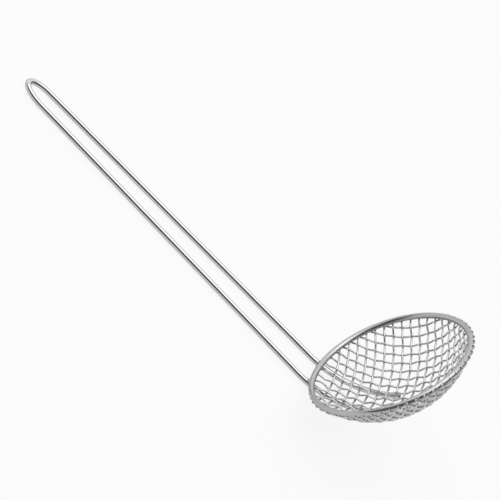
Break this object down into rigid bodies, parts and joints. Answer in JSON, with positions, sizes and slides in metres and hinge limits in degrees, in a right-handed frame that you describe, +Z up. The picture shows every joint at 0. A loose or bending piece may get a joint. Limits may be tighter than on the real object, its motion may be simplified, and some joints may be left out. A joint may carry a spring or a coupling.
{
  "type": "wire skimmer",
  "caption": "Kitchen skimmer: a round bowl of woven steel wire in a rim hoop, on a long handle bent from one wire with a narrow hanging loop.",
  "frame": {"origin": "middle of the footprint of the skimmer as it lies on a table, on the back of its handle", "axes": "+Z up from the table; the handle lies along -X and the bowl stands at +X, its mouth facing back over the handle; +Y across the two legs"},
  "size_m": [0.4832, 0.1658, 0.1553],
  "materials": {
    "polished_wire": "polished stainless steel wire",
    "mesh_wire": "bright drawn stainless steel wire"
  },
  "bodies": {
    "root": {"rim_hoop": "polished_wire", "handle_wire": "polished_wire", "long_wire_01": "mesh_wire", "long_wire_02": "mesh_wire", "long_wire_03": "mesh_wire", "long_wire_04": "mesh_wire", "long_wire_05": "mesh_wire", "long_wire_06": "mesh_wire", "long_wire_07": "mesh_wire", "long_wire_08": "mesh_wire", "long_wire_09": "mesh_wire", "long_wire_10": "mesh_wire", "long_wire_11": "mesh_wire", "long_wire_12": "mesh_wire", "long_wire_13": "mesh_wire", "long_wire_14": "mesh_wire", "long_wire_15": "mesh_wire", "long_wire_16": "mesh_wire", "long_wire_17": "mesh_wire", "long_wire_18": "mesh_wire", "long_wire_19": "mesh_wire", "long_wire_20": "mesh_wire", "cross_wire_01": "mesh_wire", "cross_wire_02": "mesh_wire", "cross_wire_03": "mesh_wire", "cross_wire_04": "mesh_wire", "cross_wire_05": "mesh_wire", "cross_wire_06": "mesh_wire", "cross_wire_07": "mesh_wire", "cross_wire_08": "mesh_wire", "cross_wire_09": "mesh_wire", "cross_wire_10": "mesh_wire", "cross_wire_11": "mesh_wire", "cross_wire_12": "mesh_wire", "cross_wire_13": "mesh_wire", "cross_wire_14": "mesh_wire", "cross_wire_15": "mesh_wire", "cross_wire_16": "mesh_wire", "cross_wire_17": "mesh_wire", "cross_wire_18": "mesh_wire"}
  },
  "joints": []
}
